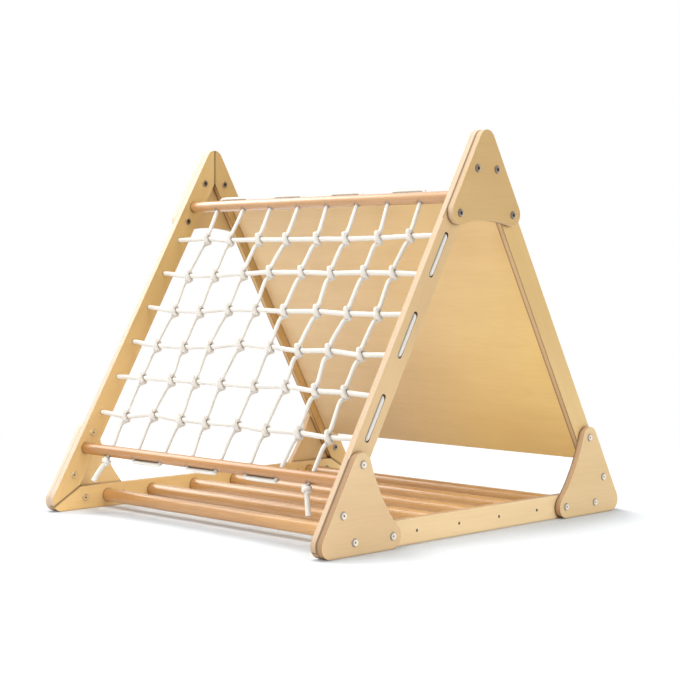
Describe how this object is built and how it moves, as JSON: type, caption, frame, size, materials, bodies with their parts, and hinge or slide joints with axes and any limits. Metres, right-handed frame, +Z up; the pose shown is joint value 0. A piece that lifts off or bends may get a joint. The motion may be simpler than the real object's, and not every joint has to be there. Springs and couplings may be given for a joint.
{
  "type": "climbing triangle",
  "caption": "Rigid triangular climbing frame for small children: bolted plywood side rails and corner plates, a knotted rope net in front, a flat panel at the back and round rungs along the floor.",
  "frame": {"origin": "centre of the footprint, on the floor", "axes": "X runs along the rungs, from left to right as one faces the net; the net faces -Y, the panel faces +Y; +Z is up"},
  "size_m": [0.895, 0.9634, 0.841],
  "materials": {
    "plywood": "satin",
    "beech": "satin",
    "rope": "matte",
    "steel": "satin"
  },
  "bodies": {
    "root": {"net_rail_left": "plywood", "net_rail_right": "plywood", "panel_rail_left": "plywood", "panel_rail_right": "plywood", "base_rail_left": "plywood", "base_rail_right": "plywood", "top_plate_left": "plywood", "top_plate_right": "plywood", "front_plate_left": "plywood", "front_plate_right": "plywood", "back_plate_left": "plywood", "back_plate_right": "plywood", "net_top_dowel": "beech", "net_bottom_dowel": "beech", "base_rung_1": "beech", "base_rung_2": "beech", "base_rung_3": "beech", "base_rung_4": "beech", "base_rung_5": "beech", "base_rung_6": "beech", "back_panel": "plywood", "rope_down": "rope", "rope_across": "rope", "top_bolts_left": "steel", "top_bolts_right": "steel", "front_bolts_left": "steel", "front_bolts_right": "steel", "back_bolts_left": "steel", "back_bolts_right": "steel", "top_sleeve_nuts_left": "steel", "top_sleeve_nuts_right": "steel", "front_sleeve_nuts_left": "steel", "front_sleeve_nuts_right": "steel", "back_sleeve_nuts_left": "steel", "back_sleeve_nuts_right": "steel", "panel_inserts_left": "steel", "panel_inserts_right": "steel", "rung_screws_left": "steel", "rung_screws_right": "steel", "net_dowel_screws_left": "steel", "net_dowel_screws_right": "steel"}
  },
  "joints": []
}
